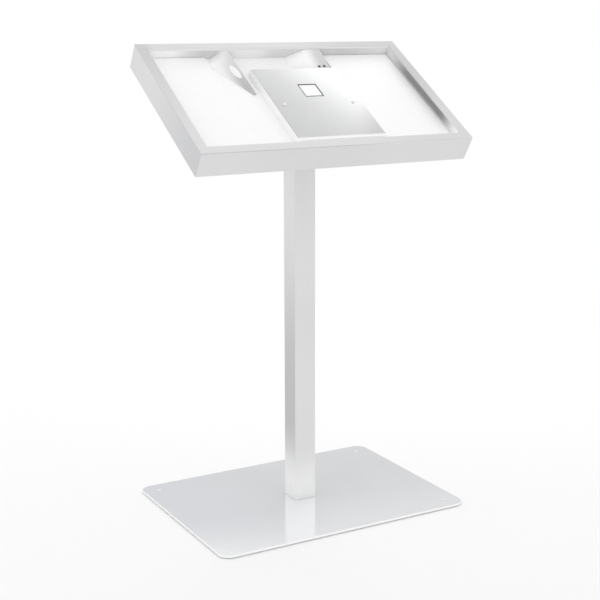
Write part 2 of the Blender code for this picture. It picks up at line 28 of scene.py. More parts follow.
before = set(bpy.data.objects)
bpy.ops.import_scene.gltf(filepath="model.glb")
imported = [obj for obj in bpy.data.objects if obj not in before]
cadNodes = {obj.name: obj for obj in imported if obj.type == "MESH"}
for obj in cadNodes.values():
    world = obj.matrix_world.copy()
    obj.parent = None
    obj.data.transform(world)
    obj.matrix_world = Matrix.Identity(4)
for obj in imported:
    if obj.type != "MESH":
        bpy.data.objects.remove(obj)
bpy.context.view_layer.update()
print("frame loaded,", len(cadNodes), "nodes")

gap = 0.0003                         # between pieces that touch
fit = 2.0 * gap                      # what a hole is wider than what it holds
past = 0.001                         # how far a cutter stands past its sheet

whole = {
    "height": 1.210,                 # floor to the tray's back upper edge
    "tilt": math.radians(32.0),
    "sharp": math.radians(30.0),     # steeper edges than this are bevelled
    "crease": math.radians(42.0),    # and steeper ones than this stay crisp in the shading
}

tray = {
    "width": 0.760,
    "length": 0.445,                 # along the slope
    "depth": 0.068,
    "sheet": 0.002,
    "rim": 0.027,
    "floor": 0.0285,                 # depth of the floor's upper face below the rim
}

trayPlace = (
    Matrix.Translation((0.0, -tray["depth"] * math.sin(whole["tilt"]),
                        whole["height"] - 0.5 * tray["length"] * math.sin(whole["tilt"])))
    @ Matrix.Rotation(whole["tilt"], 4, "X")
)


def inTray(x, distance, depth):
    # tray space from X, the distance from the tray's back edge and the depth below the rim
    return Vector((x, 0.5 * tray["length"] - distance, -depth))


# Node graphs: sockets that take part in Python sums

class Wire:
    def __init__(self, graph, socket):
        self.graph = graph
        self.socket = socket

    def apply(self, operation, *operands):
        kind = "ShaderNodeVectorMath" if self.socket.type == "VECTOR" else "ShaderNodeMath"
        return self.graph.add(kind, {"operation": operation}, dict(enumerate(operands)))

    def __add__(self, other):
        return self.apply("ADD", self, other)

    def __radd__(self, other):
        return self.apply("ADD", other, self)

    def __sub__(self, other):
        return self.apply("SUBTRACT", self, other)

    def __rsub__(self, other):
        return self.apply("SUBTRACT", other, self)

    def __mul__(self, other):
        return self.apply("MULTIPLY", self, other)

    def __rmul__(self, other):
        return self.apply("MULTIPLY", other, self)

    def __truediv__(self, other):
        return self.apply("DIVIDE", self, other)

    def __gt__(self, other):
        return self.apply("GREATER_THAN", self, other)

    def __abs__(self):
        return self.apply("ABSOLUTE", self)


class Graph:
    def __init__(self, tree):
        self.tree = tree

    def add(self, kind, settings=None, inputs=None, output=0):
        node = self.tree.nodes.new(kind)
        for name, value in (settings or {}).items():
            if name == "stops":
                setStops(node.color_ramp, value)
            else:
                setattr(node, name, value)
        for key, value in (inputs or {}).items():
            if isinstance(value, Wire):
                self.tree.links.new(value.socket, node.inputs[key])
            else:
                node.inputs[key].default_value = value
        return Wire(self, node.outputs[output])

    def split(self, vector):
        parts = self.add("ShaderNodeSeparateXYZ", inputs={0: vector}).socket.node
        return [Wire(self, socket) for socket in parts.outputs]

    def trayPlaceOf(self, place):
        # X, distance from the tray's back edge and depth below the rim, of a point given in object space
        x, y, z = self.split(place)
        across, up = math.cos(whole["tilt"]), math.sin(whole["tilt"])
        y, z = y - trayPlace.translation.y, z - trayPlace.translation.z
        return x, 0.5 * tray["length"] - (y * across + z * up), y * up - z * across

    def ramp(self, value, low, high, start=0.0, end=1.0):
        # value from low to high becomes start to end, smoothly; low may be the greater one
        return self.add("ShaderNodeMapRange", {"interpolation_type": "SMOOTHSTEP"},
                        {0: value, 1: low, 2: high, 3: start, 4: end})

    def blend(self, factor, first, second):
        return self.add("ShaderNodeMix", {"data_type": "RGBA"}, {0: factor, 6: first, 7: second}, 2)

    def noise(self, place, scale, detail=2.0, roughness=0.5):
        return self.add("ShaderNodeTexNoise", inputs={
            "Vector": place, "Scale": scale, "Detail": detail, "Roughness": roughness})


def setStops(ramp, stops):
    while len(ramp.elements) < len(stops):
        ramp.elements.new(1.0)
    for element, (position, colour) in zip(ramp.elements, stops):
        element.position = position
        element.color = colour


# Materials

span = (0.3, 0.7)                    # where most values of a noise lie
coat = {"peel": 420.0, "grit": 2600.0, "peelDepth": 0.00006, "drift": 3.0}


def shade(colour, factor=1.0):
    return (*(min(1.0, factor * part) for part in colour), 1.0)


def grey(level):
    return (level, level, level, 1.0)


def newMaterial(name):
    material = bpy.data.materials.new(name)
    material.use_nodes = True
    return material, Graph(material.node_tree)


def newSurface(name, **sockets):
    # one material with its shader's plain values set; the caller wires what varies
    material, graph = newMaterial(name)
    shader = graph.tree.nodes["Principled BSDF"]
    for key, value in sockets.items():
        shader.inputs[key].default_value = value
    return material, graph, shader, graph.add("ShaderNodeTexCoord", output="Object")


def feed(graph, shader, **wires):
    for key, wire in wires.items():
        graph.tree.links.new(wire.socket, shader.inputs[key.replace("_", " ")])


def bump(graph, height, distance):
    return graph.add("ShaderNodeBump", inputs={"Distance": distance, "Height": height})


def powderCoat(name, colour, roughness, ior=1.5, tones=None, relief=1.0):
    # baked powder: fine orange peel, and a slow drift of tone and gloss
    material, graph, shader, place = newSurface(name, IOR=ior)
    drift = graph.noise(place, coat["drift"], 3.0)
    peel = graph.noise(place, coat["peel"])
    grit = graph.noise(place, coat["grit"], 1.0)
    tone = graph.blend(graph.ramp(drift, *span), shade(colour, 0.975), shade(colour, 1.02))
    if tones:
        tone = tones(graph, place, tone)
    gloss = graph.ramp(drift * 0.6 + peel * 0.4, *span, 0.88 * roughness, 1.12 * roughness)
    feed(graph, shader, Base_Color=tone, Roughness=gloss,
         Normal=bump(graph, peel + grit * 0.15, relief * coat["peelDepth"]))
    return material


def brushedSteel(name, colour, roughness, grain, depth, tilt=0.0, walls=None):
    # fine straight grinding lines, with blotches of gloss from handling; painted white as painted light where
    # walls says so
    material, graph, shader, place = newSurface(name, Metallic=1.0)
    turn = {"Vector": place, "Rotation": (-tilt, 0.0, 0.0)}
    flat = graph.add("ShaderNodeMapping", {"vector_type": "POINT"}, turn)
    lines = graph.noise(flat * grain, 1.0, 3.0, 0.6)
    blotch = graph.noise(place, 9.0, 3.0)
    tone = graph.blend(graph.ramp(lines, 0.25, 0.75), shade(colour, 0.975), shade(colour))
    gloss = graph.ramp(lines * 0.6 + blotch * 0.4, *span, 0.85 * roughness, 1.15 * roughness)
    if walls:
        # painted light: the walls turn white and lose their metal
        wall = walls(graph, place)
        tone = graph.blend(wall, tone, grey(0.985))
        feed(graph, shader, Metallic=1.0 - wall)
    feed(graph, shader, Base_Color=tone, Roughness=gloss, Normal=bump(graph, lines, depth))
    return material


def glossSheet(name, colour, roughness):
    # extruded white sheet: faint waviness and a few hairline scuffs
    material, graph, shader, place = newSurface(name, IOR=1.38)
    wave = graph.noise(place, 14.0)
    fine = graph.noise(place, 700.0)
    tone = graph.blend(graph.ramp(wave, *span), shade(colour), shade(colour, 0.994))
    gloss = graph.ramp(fine * 0.5 + wave * 0.5, 0.35, 0.65, 0.85 * roughness, 1.2 * roughness)
    feed(graph, shader, Base_Color=tone, Roughness=gloss, Normal=bump(graph, wave * 2.0 + fine, 0.00002))
    return material


def fineGrain(name, colour, rough, factors, grain, cloud, depth, **sockets):
    # soft clouds between two tones, under a fine grain in gloss and relief
    material, graph, shader, place = newSurface(name, **sockets)
    fine = graph.noise(place, grain, 3.0)
    tone = graph.blend(graph.noise(place, cloud), *(shade(colour, factor) for factor in factors))
    gloss = graph.ramp(fine, *span, *rough)
    feed(graph, shader, Base_Color=tone, Roughness=gloss, Normal=bump(graph, fine, depth))
    return material


# Painted light and shade, laid over a coat where their windows are open

def opened(graph, axes, windows):
    # a window opens from its first number to its second, and may close from its third to its fourth
    mask = None
    for axis, value in axes.items():
        ends = windows.get(axis, ())
        for low, high in (ends[:2], ends[:1:-1])[:len(ends) // 2]:
            part = graph.ramp(value, low, high)
            mask = part if mask is None else mask * part
    return mask


def layered(layers, onTray=True):
    def tones(graph, place, tone):
        x, y, z = graph.trayPlaceOf(place) if onTray else graph.split(place)
        axes = {"x": x, "distance": y, "depth": z} if onTray else {"x": x, "y": y, "z": z}
        for layer in layers:
            mask = opened(graph, axes, layer)
            if "except" in layer:
                mask = mask * (1.0 - opened(graph, axes, layer["except"]))
            if "share" in layer:
                mask = mask * layer["share"]
            if "profile" in layer:
                low, high, stops = layer["profile"]
                along = graph.add("ShaderNodeMapRange", inputs={0: x, 1: low, 2: high})
                stops = [(position, grey(level)) for position, level in stops]
                mask = mask * graph.add("ShaderNodeValToRGB", {"stops": stops}, {0: along})
            if "streaks" in layer:
                mask = mask * (0.88 + 0.24 * graph.noise(place * layer["streaks"], 1.0))
            colour = layer["tone"]
            if "turning" in layer:
                axis, start, end, other = layer["turning"]
                colour = graph.blend(graph.ramp(axes[axis], start, end), colour, other)
            tone = graph.blend(mask, tone, colour)
        return tone
    return tones


greyCoat = powderCoat("lightGreyCoat", (0.680, 0.682, 0.687), 0.30)
whiteLacquer = powderCoat("whiteCapLacquer", (0.960, 0.960, 0.960), 0.28)
paleScrew = powderCoat("paleScrewCoat", (0.880, 0.882, 0.888), 0.20)
whiteSheet = glossSheet("whiteInlaySheet", (0.978, 0.978, 0.978), 0.30)
plating = {"factors": (0.9, 1.0), "grain": 2200.0, "cloud": 240.0, "depth": 0.00001}
moulding = {"factors": (1.0, 1.5), "grain": 1500.0, "cloud": 60.0, "depth": 0.00005}
zincPlate = fineGrain("zincPlatedScrew", (0.72, 0.72, 0.71), (0.224, 0.336), **plating, Metallic=1.0)
blackOxide = fineGrain("blackOxideScrew", (0.045, 0.045, 0.047), (0.336, 0.504), **plating, Metallic=0.6)
darkRubber = fineGrain("darkRubber", (0.075, 0.075, 0.076), (0.55, 0.78), **moulding, IOR=1.52)
weldMetal = brushedSteel("coatedWeld", (0.640, 0.644, 0.650), 0.34, (300.0, 300.0, 300.0), 0.00004)
print("materials ready")


# Mesh tools

corners = ((1, 1), (-1, 1), (-1, -1), (1, -1))


def rounding(radius, steps):
    # inset and drop along a rounded edge, from its side to its top
    angles = [0.5 * math.pi * step / steps for step in range(steps + 1)]
    return [(radius * (1.0 - math.cos(angle)), radius * (1.0 - math.sin(angle))) for angle in angles]


def roundedRing(width, length, radius, z, centre=(0.0, 0.0), steps=8):
    ring = []
    for corner, (sideX, sideY) in enumerate(corners):
        middle = Vector((centre[0] + sideX * (0.5 * width - radius),
                         centre[1] + sideY * (0.5 * length - radius), z))
        for step in range(steps + 1):
            angle = math.radians(90.0) * (corner + step / steps)
            ring.append(middle + radius * Vector((math.cos(angle), math.sin(angle), 0.0)))
    return ring


def circleRing(diameter, z, steps=48):
    turn = 2.0 * math.pi / steps
    return [Vector((0.5 * diameter * math.cos(turn * k), 0.5 * diameter * math.sin(turn * k), z))
            for k in range(steps)]


def skin(rings, closed=False):
    bm = bmesh.new()
    loops = [[bm.verts.new(point) for point in ring] for ring in rings]
    following = loops[1:] + loops[:1] if closed else loops[1:]
    for first, second in zip(loops, following):
        for here in range(len(first)):
            after = (here + 1) % len(first)
            bm.faces.new((first[here], first[after], second[after], second[here]))
    if not closed:
        bm.faces.new(loops[0])
        bm.faces.new(loops[-1])
    return bm


def mitred(section, width, length, centre=(0.0, 0.0, 0.0)):
    # a square frame whose section is given as inset and height
    return skin([[Vector((sideX * (0.5 * width - inset), sideY * (0.5 * length - inset), z)) + Vector(centre)
                  for inset, z in section] for sideX, sideY in corners], closed=True)


def shifted(bm, offset):
    bmesh.ops.translate(bm, verts=bm.verts, vec=Vector(offset))
    return bm


def turned(profile, place=(0.0, 0.0, 0.0), steps=48):
    # a round body from pairs of diameter and height
    return shifted(skin([circleRing(diameter, z, steps) for diameter, z in profile]), place)


def gridOf(spacingX, spacingY):
    return [(sideX * 0.5 * spacingX, sideY * 0.5 * spacingY) for sideY in (-1, 1) for sideX in (-1, 1)]


def newObject(name, data):
    made = bpy.data.objects.new(name, data)
    bpy.context.scene.collection.objects.link(made)
    return made


def makePiece(name, bm, material):
    if all(edge.is_manifold for edge in bm.edges):
        bmesh.ops.recalc_face_normals(bm, faces=bm.faces)
    mesh = bpy.data.meshes.new(name)
    bm.to_mesh(mesh)
    bm.free()
    mesh.materials.append(material)
    return newObject(name, mesh)


def bake(piece):
    # the piece as its modifiers leave it, with none left on it
    mesh = bpy.data.meshes.new_from_object(piece.evaluated_get(bpy.context.evaluated_depsgraph_get()))
    piece.modifiers.clear()
    piece.data = mesh


def modify(piece, name, kind, **settings):
    modifier = piece.modifiers.new(name, kind)
    for key, value in settings.items():
        setattr(modifier, key, value)
    return modifier


def cutOut(piece, cutters):
    tools = []
    for index, bm in enumerate(cutters):
        tool = makePiece("%sCutter%d" % (piece.name, index + 1), bm, piece.data.materials[0])
        modify(piece, tool.name, "BOOLEAN", operation="DIFFERENCE", solver="EXACT", object=tool)
        tools.append(tool)
    bake(piece)
    for tool in tools:
        bpy.data.objects.remove(tool, do_unlink=True)


def softenEdges(piece, width):
    # worn-looking machined edges, then shading that keeps the flats flat
    if width:
        modify(piece, "edges", "BEVEL", width=width, segments=3, limit_method="ANGLE",
               angle_limit=whole["sharp"], miter_outer="MITER_ARC", use_clamp_overlap=True)
        bake(piece)
    piece.data.shade_smooth()
    piece.data.set_sharp_from_angle(angle=whole["crease"])
    modify(piece, "flats", "WEIGHTED_NORMAL", keep_sharp=True)
    bake(piece)


def numbered(name, count):
    return ["%s_%d" % (name, index + 1) for index in range(count)]


def dress(piece, slotName, *nodes, place=None, edge=0.0):
    # softened edges and the final place in the mesh, then tied to the frame
    softenEdges(piece, edge)
    if place is not None:
        piece.data.transform(place)
        piece.data.update()
    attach(piece, "root")
    if nodes:
        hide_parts(*nodes)


# Geometry node trees for what repeats

def newTree(name, inputs):
    tree = bpy.data.node_groups.new(name, "GeometryNodeTree")
    tree.interface.new_socket(name="Geometry", in_out="OUTPUT", socket_type="NodeSocketGeometry")
    tree.interface.new_socket(name="Geometry", in_out="INPUT", socket_type="NodeSocketGeometry")
    for label in inputs:
        tree.interface.new_socket(name=label, in_out="INPUT", socket_type="NodeSocketFloat")
    tree.interface.new_socket(name="Material", in_out="INPUT", socket_type="NodeSocketMaterial")
    graph = Graph(tree)
    entry = graph.add("NodeGroupInput").socket.node
    return graph, {socket.name: Wire(graph, socket) for socket in entry.outputs if socket.name}


def closeTree(graph, geometry, material):
    real = graph.add("GeometryNodeRealizeInstances", inputs={0: geometry})
    coated = graph.add("GeometryNodeSetMaterial", inputs={"Geometry": real, "Material": material})
    leave = graph.tree.nodes.new("NodeGroupOutput")
    graph.tree.links.new(coated.socket, leave.inputs[0])
    return graph.tree


def grow(name, carrierMesh, tree, values, material):
    # evaluates a tree on its carrier and keeps the result as a plain mesh
    carrier = newObject(name, carrierMesh)
    modifier = modify(carrier, name, "NODES", node_group=tree)
    values = {**values, "Material": material}
    for item in tree.interface.items_tree:
        if item.item_type == "SOCKET" and item.in_out == "INPUT" and item.name in values:
            modifier[item.identifier] = values[item.name]
    bake(carrier)
    return carrier


def growOn(name, places, facing, tree, sizes, material):
    # one of the tree's pieces on each place; sizes in the order of the tree's own inputs
    mesh = bpy.data.meshes.new(name)
    mesh.from_pydata([tuple(place) for place in places], [], [])
    attribute = mesh.attributes.new("facing", "FLOAT_VECTOR", "POINT")
    attribute.data.foreach_set("vector", [part for vector in facing for part in vector])
    labels = [item.name for item in tree.interface.items_tree if item.socket_type == "NodeSocketFloat"]
    return grow(name, mesh, tree, dict(zip(labels, sizes)), material)


def cylinder(graph, sides, radius, height, fill=1, sideSteps=1):
    return graph.add("GeometryNodeMeshCylinder", inputs={
        "Vertices": sides, "Side Segments": sideSteps, "Fill Segments": fill,
        "Radius": radius, "Depth": height})


def raised(graph, geometry, height):
    offset = graph.add("ShaderNodeCombineXYZ", inputs={2: height})
    return graph.add("GeometryNodeTransform", inputs={"Geometry": geometry, "Translation": offset})


def onPoints(graph, points, piece):
    facing = graph.add("GeometryNodeInputNamedAttribute", {"data_type": "FLOAT_VECTOR"}, {"Name": "facing"})
    turn = graph.add("FunctionNodeAlignRotationToVector", {"axis": "Z"}, {"Vector": facing})
    return graph.add("GeometryNodeInstanceOnPoints", inputs={
        "Points": points, "Instance": piece, "Rotation": turn})


def combined(graph, operation, *parts, base=None):
    settings = {"operation": operation, "solver": "EXACT"}
    result = graph.add("GeometryNodeMeshBoolean", settings, {"Mesh 1": base} if base else None)
    for part in parts:
        graph.tree.links.new(part.socket, result.socket.node.inputs["Mesh 2"])
    return result


def withShank(graph, part, size, overlap):
    # a plain shank below z = 0 that reaches into the head by the overlap
    shank = cylinder(graph, 32, size["Shank Diameter"] * 0.5, size["Shank Length"] + overlap)
    shank = raised(graph, shank, (overlap - size["Shank Length"]) * 0.5)
    return combined(graph, "UNION", part, shank)


def socketScrewTree():
    # head with a domed or flat top and a hexagon socket, on a plain shank; z = 0 is its seat
    graph, size = newTree("socketScrew", (
        "Head Diameter", "Seat Diameter", "Rim Height", "Dome Height", "Key Width", "Key Depth",
        "Shank Diameter", "Shank Length"))
    rim = size["Rim Height"]
    radius = size["Head Diameter"] * 0.5
    head = graph.add("GeometryNodeMeshCone", inputs={
        "Vertices": 48, "Side Segments": 1, "Fill Segments": 7, "Radius Top": radius,
        "Radius Bottom": size["Seat Diameter"] * 0.5, "Depth": rim})
    x, y, z = graph.split(graph.add("GeometryNodeInputPosition"))
    reach = (x * x + y * y) / (radius * radius)
    lift = graph.add("ShaderNodeCombineXYZ", inputs={2: size["Dome Height"] * (1.0 - reach)})
    domed = graph.add("GeometryNodeSetPosition", inputs={
        "Geometry": head, "Selection": z > rim * 0.75, "Offset": lift})
    key = cylinder(graph, 6, size["Key Width"] * (1.0 / math.sqrt(3.0)), size["Key Depth"] * 2.0)
    cut = combined(graph, "DIFFERENCE", raised(graph, key, rim + size["Dome Height"]), base=domed)
    screw = withShank(graph, cut, size, rim * 0.3)
    return closeTree(graph, onPoints(graph, size["Geometry"], screw), size["Material"])


def hexBoltTree():
    # hexagon head with chamfered corners, on a plain shank; z = 0 is its seat and the head stands above it
    graph, size = newTree("hexBolt", (
        "Across Flats", "Head Height", "Crown Share", "Shank Diameter", "Shank Length"))
    flats, height = size["Across Flats"], size["Head Height"]
    prism = raised(graph, cylinder(graph, 6, flats * (1.0 / math.sqrt(3.0)), height), height * 0.5)
    crown = flats * 0.5 * size["Crown Share"]
    cone = graph.add("GeometryNodeMeshCone", inputs={
        "Vertices": 72, "Radius Top": crown, "Radius Bottom": crown + height * math.tan(math.radians(60.0)),
        "Depth": height})
    bolt = withShank(graph, combined(graph, "INTERSECT", prism, cone), size, height * 0.3)
    return closeTree(graph, onPoints(graph, size["Geometry"], bolt), size["Material"])


def padTree():
    # moulded disc whose rim is rounded all over; z = 0 is its underside
    graph, size = newTree("mouldedPad", ("Diameter", "Thickness", "Rounding"))
    radius, half = size["Diameter"] * 0.5, size["Thickness"] * 0.5
    disc = cylinder(graph, 64, radius, size["Thickness"], 4, 8)
    x, y, z = graph.split(graph.add("GeometryNodeInputPosition"))
    edge = abs(z / half)
    share = 1.0 - edge.apply("POWER", edge, 6.0) * size["Rounding"] / radius
    shaped = graph.add("ShaderNodeCombineXYZ", inputs={0: x * share, 1: y * share, 2: z})
    disc = graph.add("GeometryNodeSetPosition", inputs={"Geometry": disc, "Position": shaped})
    disc = raised(graph, disc, half)
    return closeTree(graph, onPoints(graph, size["Geometry"], disc), size["Material"])


def weldTree():
    # a bead with the ripples of a slow hand, laid along the carrier's loop of edges
    graph, size = newTree("weldBead", ("Bead Radius", "Step", "Ripple", "Ripples"))
    path = graph.add("GeometryNodeMeshToCurve", inputs={"Mesh": size["Geometry"]})
    path = graph.add("GeometryNodeResampleCurve", {"mode": "LENGTH"}, {"Curve": path, "Length": size["Step"]})
    along = graph.add("GeometryNodeSplineParameter", output="Factor")
    turn = along * size["Ripples"] * (2.0 * math.pi)
    swell = 1.0 + size["Ripple"] * turn.apply("SINE", turn)
    bead = graph.add("GeometryNodeCurvePrimitiveCircle", inputs={
        "Resolution": 10, "Radius": size["Bead Radius"]})
    tube = graph.add("GeometryNodeCurveToMesh", inputs={
        "Curve": path, "Profile Curve": bead, "Scale": swell})
    return closeTree(graph, tube, size["Material"])


screwTree = socketScrewTree()
boltTree = hexBoltTree()
footPadTree = padTree()
beadTree = weldTree()
print("node trees ready")


# Foot plate with its corner screws and pads

foot = {
    "width": 0.720, "length": 0.528, "low": 0.0023, "top": 0.0083, "corner": 0.030,
    "topRound": 0.0008, "lowRound": 0.0004, "inset": 0.042,
    "head": 0.014, "shank": 0.008, "shankShare": 0.98, "rim": 0.0005, "burr": 0.0003,
    "key": 0.004, "keyDepth": 0.0006, "pad": 0.040, "padThickness": 0.002, "padRound": 0.0007,
}

# painted shade cooler and darker at the left, painted light towards the reader, and a painted highlight on
# the side edge, which stays lighter than the coated top
footPaintedLight = (
    {"x": (0.05, -0.36), "tone": shade((0.848, 0.858, 0.892))},
    {"y": (-0.02, -0.264), "tone": shade((0.930, 0.936, 0.955))},
    {"z": (0.0082, 0.0074), "tone": grey(0.98)},
)
footCoat = powderCoat("footPlateCoat", (0.858, 0.865, 0.878), 0.10, 2.2, layered(footPaintedLight, False), 0.3)


def footScrewPlaces(z):
    spacing = (foot["width"] - 2.0 * foot["inset"], foot["length"] - 2.0 * foot["inset"])
    return [(x, y, z) for x, y in gridOf(*spacing)]


def makeFootPlate():
    low, top, rim, burr = foot["low"], foot["top"], foot["rim"], foot["burr"]
    edge = [(inset, low + rise) for inset, rise in rounding(foot["lowRound"], 2)[::-1]]
    edge += [(inset, top - drop) for inset, drop in rounding(foot["topRound"], 4)]
    bm = skin([roundedRing(foot["width"] - 2.0 * inset, foot["length"] - 2.0 * inset,
                           foot["corner"] - inset, z, steps=16) for inset, z in edge])
    piece = makePiece("footPlate", bm, footCoat)
    wide, narrow = foot["head"] + fit, foot["shank"] + fit
    sink = ((wide + 2.0 * burr, top + burr), (wide, top - burr), (wide, top - rim),
            (narrow, top - rim - 0.5 * (wide - narrow)), (narrow, 0.0))
    cutOut(piece, [turned(sink, place) for place in footScrewPlaces(0.0)])
    dress(piece, "light_grey_steel", "base_plate")

    up = [(0.0, 0.0, 1.0)] * 4
    seat = top - rim - 0.5 * (foot["head"] - foot["shank"])
    screws = growOn("footScrews", footScrewPlaces(seat), up, screwTree, (
        foot["head"], foot["shank"], top - seat, 0.0, foot["key"], foot["keyDepth"],
        foot["shankShare"] * foot["shank"], seat - low), paleScrew)
    dress(screws, "zinc_screw", *numbered("base_screw", 4))

    pads = growOn("footPads", footScrewPlaces(0.0), up, footPadTree,
                  (foot["pad"], foot["padThickness"], foot["padRound"]), darkRubber)
    dress(pads, "dark_rubber", *numbered("foot_pad", 4))


makeFootPlate()
print("foot plate done")


# Post, its set screws and the weld under the head plate

post = {
    "side": 0.062, "wall": 0.003, "corner": 0.005, "bore": 0.002, "footRound": 0.0005,
    "screw": 0.008, "screwHeights": (0.033, 0.085), "screwLength": 0.007, "burr": 0.0004,
    "tip": 0.001, "tipShare": 0.6, "key": 0.003, "keyDepth": 0.0006,
    "headSheet": 0.005, "weld": 0.0016, "weldStep": 0.0009, "ripple": 0.10, "ripples": 110.0,
}

# painted shade on the left face at mid height, with faint streaks, then painted light on the upper end under
# the tray and on the foot all round
postPaintedLight = (
    {"x": (-0.0300, -0.0309), "z": (0.06, 0.24, 0.30, 0.82), "streaks": (1.0, 420.0, 2.0),
     "tone": grey(0.50)},
    {"z": (0.75, 0.95), "tone": grey(0.80)},
    {"z": (0.165, 0.035), "tone": grey(0.90)},
)
# the coat's base is painted lighter than the tray's grey, as painted light where the tray shades the post
postCoat = powderCoat("postCoat", (0.745, 0.746, 0.749), 0.24, 1.5, layered(postPaintedLight, False))


def cutToTray(ring):
    # the ring raised to the slope under the head plate
    underside = trayPlace.translation.z - tray["depth"] * math.cos(whole["tilt"])
    top = underside - (post["headSheet"] + fit) / math.cos(whole["tilt"])
    return [Vector((point.x, point.y, top + point.y * math.tan(whole["tilt"]))) for point in ring]


def makePost():
    low = foot["top"] + gap
    side, wall, screw, burr = post["side"], post["wall"], post["screw"], post["burr"]
    outer = [roundedRing(side - 2.0 * inset, side - 2.0 * inset, post["corner"] - inset, low + rise)
             for inset, rise in ((post["footRound"], 0.0), (0.0, post["footRound"]))]
    inner = roundedRing(side - 2.0 * wall, side - 2.0 * wall, post["bore"], low)
    rings = [*outer, cutToTray(outer[1]), cutToTray(inner), inner]
    piece = makePiece("postTube", skin(rings, closed=True), postCoat)
    toLeft = Matrix.Rotation(math.radians(-90.0), 4, "Y")
    places = [Vector((-0.5 * side, 0.0, foot["top"] + height)) for height in post["screwHeights"]]
    holes = []
    for place in places:
        bm = turned(((screw + fit, -2.0 * wall), (screw + fit, -burr), (screw + 2.0 * burr, 0.0),
                     (screw + 2.0 * burr, past)))
        bm.transform(Matrix.Translation(place) @ toLeft)
        holes.append(bm)
    cutOut(piece, holes)
    dress(piece, "light_grey_steel", "post_tube")

    length = post["screwLength"] - post["tip"]
    seats = [place + Vector((length, 0.0, 0.0)) for place in places]
    screws = growOn("setScrews", seats, [(-1.0, 0.0, 0.0)] * 2, screwTree, (
        screw, screw, length, 0.0, post["key"], post["keyDepth"], post["tipShare"] * screw, post["tip"]),
        paleScrew)
    dress(screws, "zinc_screw", "set_screw_lower", "set_screw_upper")

    loop = cutToTray(roundedRing(side + fit, side + fit, post["corner"], 0.0, steps=6))
    path = bpy.data.meshes.new("weldPath")
    edges = [(k, (k + 1) % len(loop)) for k in range(len(loop))]
    path.from_pydata([tuple(point) for point in loop], edges, [])
    bead = grow("postWeld", path, beadTree, {
        "Bead Radius": post["weld"], "Step": post["weldStep"], "Ripple": post["ripple"],
        "Ripples": post["ripples"]}, weldMetal)
    bead.data.shade_smooth()
    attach(bead, "root")


makePost()
print("post done")


# Head plate under the tray, with its four bolts

head = {
    "side": 0.150, "sheet": 0.005, "corner": 0.010, "edge": 0.0006, "spacing": 0.114, "cableHole": 0.030,
    "flats": 0.013, "headHeight": 0.0053, "crownShare": 0.95, "bolt": 0.008, "nutHeight": 0.0065,
}
boltPlaces = gridOf(head["spacing"], head["spacing"])


def boltHoles(low, high):
    # four holes and the cable's between them, through a sheet from low to high
    ends = (low - past, high + past)
    holes = [turned([(head["bolt"] + fit, z) for z in ends], (x, y, 0.0)) for x, y in boltPlaces]
    return holes + [turned([(head["cableHole"], z) for z in ends])]


def makeHead():
    high = -tray["depth"] - gap
    low = high - head["sheet"]
    rings = [roundedRing(head["side"], head["side"], head["corner"], z, steps=12) for z in (low, high)]
    piece = makePiece("headPlate", skin(rings), greyCoat)
    cutOut(piece, boltHoles(low, high))
    dress(piece, "light_grey_steel", "head_plate", place=trayPlace, edge=head["edge"])

    seat = low - gap
    nutTop = -tray["depth"] + tray["sheet"] + gap + head["nutHeight"]
    bolts = growOn("headBolts", [(x, y, seat) for x, y in boltPlaces], [(0.0, 0.0, -1.0)] * 4, boltTree, (
        head["flats"], head["headHeight"], head["crownShare"], head["bolt"], nutTop - seat), zincPlate)
    dress(bolts, "zinc_screw", *numbered("head_bolt", 4), place=trayPlace)


makeHead()
print("head plate done")


# Tray shell: folded sheet box, closed by the rim frame

shell = {"corner": 0.0015, "fold": 0.0022, "seam": 0.0009, "innerCorner": 0.00075}
# painted light in the front seam's groove, which lies in shade
frontSeamPaintedLight = {"x": (0.0, 0.14), "distance": (tray["length"] - 0.0014, tray["length"] - 0.0010),
             "tone": grey(0.87)}

# painted shade: left side a little darker towards the reader; painted light in the front seam's right part
shellPaintedLight = (
    {"x": (0.0014 - 0.5 * tray["width"], 0.0004 - 0.5 * tray["width"]), "distance": (0.10, 0.45),
     "tone": shade((0.605, 0.608, 0.622))},
    {**frontSeamPaintedLight, "depth": (0.0034, 0.0030)},
)
shellCoat = powderCoat("trayShellCoat", (0.718, 0.719, 0.723), 0.30, 1.5, layered(shellPaintedLight))


def makeShell():
    low, top = -tray["depth"], -(tray["sheet"] + gap)
    outline = [(inset, shell["corner"], low + rise) for rise, inset in rounding(shell["fold"], 6)]
    outline += [(0.0, shell["corner"], top - shell["seam"])]
    outline += [(inset, shell["innerCorner"], z) for inset, z in (
        (shell["seam"], top), (tray["sheet"], top), (tray["sheet"], low + tray["sheet"]))]
    rings = [roundedRing(tray["width"] - 2.0 * inset, tray["length"] - 2.0 * inset, radius, z, steps=5)
             for inset, radius, z in outline]
    piece = makePiece("trayShell", skin(rings), shellCoat)
    cutOut(piece, boltHoles(low, low + tray["sheet"]))
    dress(piece, "light_grey_steel", "tray_shell", place=trayPlace)


makeShell()
print("tray shell done")


# Rim frame: rim, inner walls and floor ledge folded in one

rimSizes = {"fold": 0.004, "ledge": 0.012, "seam": 0.0009, "topRound": 0.0006, "steps": 8}


